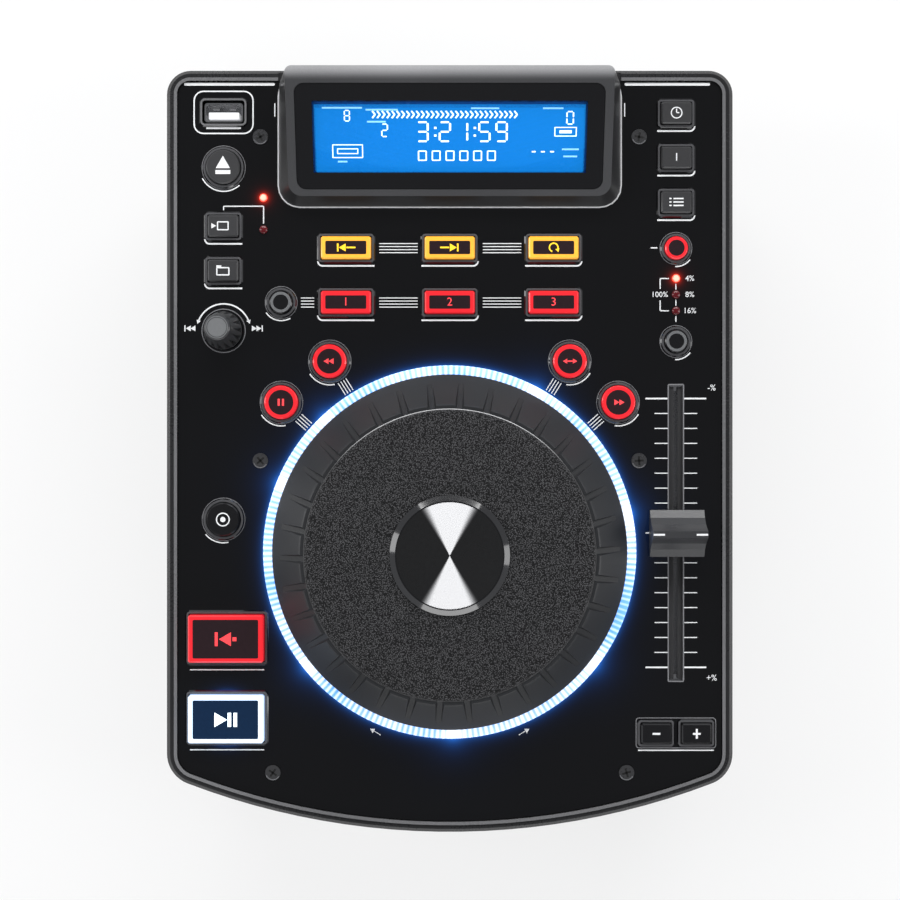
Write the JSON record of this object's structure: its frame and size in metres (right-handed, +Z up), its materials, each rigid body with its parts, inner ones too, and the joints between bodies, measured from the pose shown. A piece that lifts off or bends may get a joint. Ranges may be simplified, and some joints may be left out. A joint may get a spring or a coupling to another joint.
{
  "type": "tabletop disc player",
  "caption": "Tabletop disc player and controller with a scalloped jog wheel, light ring, tilted display hood, pitch fader, keys and a front disc slot.",
  "frame": {"origin": "on the table under the middle of the case", "axes": "+Z up, the bowed front edge faces -Y, +X is to the user's right"},
  "size_m": [0.2124, 0.2858, 0.1026],
  "materials": {
    "case_plastic": "fine satin moulding",
    "chassis_paint": "black powder coat",
    "gloss_panel": "high gloss black",
    "hood_paint": "satin dark grey",
    "display_glass": "glossy window with a black border",
    "display_body": "blue display",
    "rubber": "matt black",
    "clear_ring": "clear, lit from below",
    "knob_plastic": "textured dark grey",
    "spun_aluminium": "spun face",
    "steel": "plated sheet",
    "bronze": "sintered bush",
    "circuit_board": "green board",
    "red_lamp": "clear red",
    "amber_key": "translucent amber edge",
    "red_key": "translucent red edge",
    "white_key": "translucent white edge",
    "dark_key": "dark grey rubber-like key",
    "black_plastic": "moulded black"
  },
  "bodies": {
    "case": {"bottom_chassis": "chassis_paint", "computer_socket": "steel", "display_hood": "hood_paint", "display_module": "display_body", "display_window": "display_glass", "drive_deck": "steel", "face_plate": "gloss_panel", "fader_body": "steel", "indicator_lamps": "red_lamp", "jog_bush": "bronze", "key_board": "circuit_board", "light_ring": "clear_ring", "main_board": "circuit_board", "panel_screws": "steel", "phono_sockets": "black_plastic", "power_inlet": "black_plastic", "power_switch": "black_plastic", "remote_jack": "black_plastic", "rubber_feet": "rubber", "slot_trim": "black_plastic", "spindle_motor": "steel", "stick_socket": "steel", "track_encoder": "black_plastic", "upper_case": "case_plastic"},
    "bend_minus_key": {"bend_minus_button": "dark_key"},
    "bend_plus_key": {"bend_plus_button": "dark_key"},
    "brake_key": {"brake_button": "red_key"},
    "cue_key": {"cue_button": "red_key"},
    "eject_key": {"eject_button": "dark_key"},
    "folder_key": {"folder_button": "dark_key"},
    "hot_cue_1_key": {"hot_cue_1_button": "red_key"},
    "hot_cue_2_key": {"hot_cue_2_button": "red_key"},
    "hot_cue_3_key": {"hot_cue_3_button": "red_key"},
    "loop_in_key": {"loop_in_button": "amber_key"},
    "loop_out_key": {"loop_out_button": "amber_key"},
    "master_tempo_key": {"master_tempo_button": "red_key"},
    "pitch_range_key": {"pitch_range_button": "dark_key"},
    "play_key": {"play_button": "white_key"},
    "program_key": {"program_button": "dark_key"},
    "record_key": {"record_button": "dark_key"},
    "reloop_key": {"reloop_button": "amber_key"},
    "reverse_key": {"reverse_button": "red_key"},
    "scratch_key": {"scratch_button": "red_key"},
    "search_key": {"search_button": "red_key"},
    "single_key": {"single_button": "dark_key"},
    "source_key": {"source_button": "dark_key"},
    "tap_key": {"tap_button": "dark_key"},
    "time_key": {"time_button": "dark_key"},
    "jog": {"jog_wheel": "knob_plastic", "jog_plate": "knob_plastic", "jog_cap": "spun_aluminium", "jog_shaft": "steel"},
    "track_push": {"track_shaft": "steel"},
    "track_turn": {"track_knob": "knob_plastic"},
    "fader": {"fader_cap": "knob_plastic", "fader_lever": "steel"},
    "rocker": {"power_rocker": "black_plastic"},
    "disc_table": {"turntable": "black_plastic"},
    "sled": {"laser_sled": "black_plastic"},
    "roller": {"loading_roller": "rubber"}
  },
  "joints": [
    {"name": "bend_minus_press", "type": "slide", "parent": "case", "child": "bend_minus_key", "axis": [0, 0, -1], "range_m": [0, 0.001], "stiffness_N_per_m": 600, "springref_m": -0.0005},
    {"name": "bend_plus_press", "type": "slide", "parent": "case", "child": "bend_plus_key", "axis": [0, 0, -1], "range_m": [0, 0.001], "stiffness_N_per_m": 600, "springref_m": -0.0005},
    {"name": "brake_press", "type": "slide", "parent": "case", "child": "brake_key", "axis": [0, 0, -1], "range_m": [0, 0.001], "stiffness_N_per_m": 600, "springref_m": -0.0005},
    {"name": "cue_press", "type": "slide", "parent": "case", "child": "cue_key", "axis": [0, 0, -1], "range_m": [0, 0.001], "stiffness_N_per_m": 600, "springref_m": -0.0005},
    {"name": "eject_press", "type": "slide", "parent": "case", "child": "eject_key", "axis": [0, 0, -1], "range_m": [0, 0.001], "stiffness_N_per_m": 600, "springref_m": -0.0005},
    {"name": "folder_press", "type": "slide", "parent": "case", "child": "folder_key", "axis": [0, 0, -1], "range_m": [0, 0.001], "stiffness_N_per_m": 600, "springref_m": -0.0005},
    {"name": "hot_cue_1_press", "type": "slide", "parent": "case", "child": "hot_cue_1_key", "axis": [0, 0, -1], "range_m": [0, 0.001], "stiffness_N_per_m": 600, "springref_m": -0.0005},
    {"name": "hot_cue_2_press", "type": "slide", "parent": "case", "child": "hot_cue_2_key", "axis": [0, 0, -1], "range_m": [0, 0.001], "stiffness_N_per_m": 600, "springref_m": -0.0005},
    {"name": "hot_cue_3_press", "type": "slide", "parent": "case", "child": "hot_cue_3_key", "axis": [0, 0, -1], "range_m": [0, 0.001], "stiffness_N_per_m": 600, "springref_m": -0.0005},
    {"name": "loop_in_press", "type": "slide", "parent": "case", "child": "loop_in_key", "axis": [0, 0, -1], "range_m": [0, 0.001], "stiffness_N_per_m": 600, "springref_m": -0.0005},
    {"name": "loop_out_press", "type": "slide", "parent": "case", "child": "loop_out_key", "axis": [0, 0, -1], "range_m": [0, 0.001], "stiffness_N_per_m": 600, "springref_m": -0.0005},
    {"name": "master_tempo_press", "type": "slide", "parent": "case", "child": "master_tempo_key", "axis": [0, 0, -1], "range_m": [0, 0.001], "stiffness_N_per_m": 600, "springref_m": -0.0005},
    {"name": "pitch_range_press", "type": "slide", "parent": "case", "child": "pitch_range_key", "axis": [0, 0, -1], "range_m": [0, 0.001], "stiffness_N_per_m": 600, "springref_m": -0.0005},
    {"name": "play_press", "type": "slide", "parent": "case", "child": "play_key", "axis": [0, 0, -1], "range_m": [0, 0.001], "stiffness_N_per_m": 600, "springref_m": -0.0005},
    {"name": "program_press", "type": "slide", "parent": "case", "child": "program_key", "axis": [0, 0, -1], "range_m": [0, 0.001], "stiffness_N_per_m": 600, "springref_m": -0.0005},
    {"name": "record_press", "type": "slide", "parent": "case", "child": "record_key", "axis": [0, 0, -1], "range_m": [0, 0.001], "stiffness_N_per_m": 600, "springref_m": -0.0005},
    {"name": "reloop_press", "type": "slide", "parent": "case", "child": "reloop_key", "axis": [0, 0, -1], "range_m": [0, 0.001], "stiffness_N_per_m": 600, "springref_m": -0.0005},
    {"name": "reverse_press", "type": "slide", "parent": "case", "child": "reverse_key", "axis": [0, 0, -1], "range_m": [0, 0.001], "stiffness_N_per_m": 600, "springref_m": -0.0005},
    {"name": "scratch_press", "type": "slide", "parent": "case", "child": "scratch_key", "axis": [0, 0, -1], "range_m": [0, 0.001], "stiffness_N_per_m": 600, "springref_m": -0.0005},
    {"name": "search_press", "type": "slide", "parent": "case", "child": "search_key", "axis": [0, 0, -1], "range_m": [0, 0.001], "stiffness_N_per_m": 600, "springref_m": -0.0005},
    {"name": "single_press", "type": "slide", "parent": "case", "child": "single_key", "axis": [0, 0, -1], "range_m": [0, 0.001], "stiffness_N_per_m": 600, "springref_m": -0.0005},
    {"name": "source_press", "type": "slide", "parent": "case", "child": "source_key", "axis": [0, 0, -1], "range_m": [0, 0.001], "stiffness_N_per_m": 600, "springref_m": -0.0005},
    {"name": "tap_press", "type": "slide", "parent": "case", "child": "tap_key", "axis": [0, 0, -1], "range_m": [0, 0.001], "stiffness_N_per_m": 600, "springref_m": -0.0005},
    {"name": "time_press", "type": "slide", "parent": "case", "child": "time_key", "axis": [0, 0, -1], "range_m": [0, 0.001], "stiffness_N_per_m": 600, "springref_m": -0.0005},
    {"name": "jog_spin", "type": "hinge", "parent": "case", "child": "jog", "pos_m": [0, -0.0377, 0.08], "axis": [0, 0, 1], "continuous": true},
    {"name": "track_press", "type": "slide", "parent": "case", "child": "track_push", "axis": [0, 0, -1], "range_m": [0, 0.001], "stiffness_N_per_m": 800, "springref_m": -0.0005},
    {"name": "track_spin", "type": "hinge", "parent": "track_push", "child": "track_turn", "pos_m": [-0.0848, 0.0452, 0.09], "axis": [0, 0, 1], "continuous": true},
    {"name": "fader_slide", "type": "slide", "parent": "case", "child": "fader", "axis": [0, 1, 0], "range_m": [-0.05, 0.05]},
    {"name": "power_rock", "type": "hinge", "parent": "case", "child": "rocker", "pos_m": [0.07, 0.1279, 0.022], "axis": [1, 0, 0], "range_deg": [-8, 8]},
    {"name": "disc_spin", "type": "hinge", "parent": "case", "child": "disc_table", "pos_m": [0, -0.0681, 0.0217], "axis": [0, 0, 1], "continuous": true},
    {"name": "sled_travel", "type": "slide", "parent": "case", "child": "sled", "axis": [0, 1, 0], "range_m": [0, 0.034]},
    {"name": "roller_spin", "type": "hinge", "parent": "case", "child": "roller", "pos_m": [0, -0.1211, 0.0178], "axis": [1, 0, 0], "continuous": true}
  ]
}
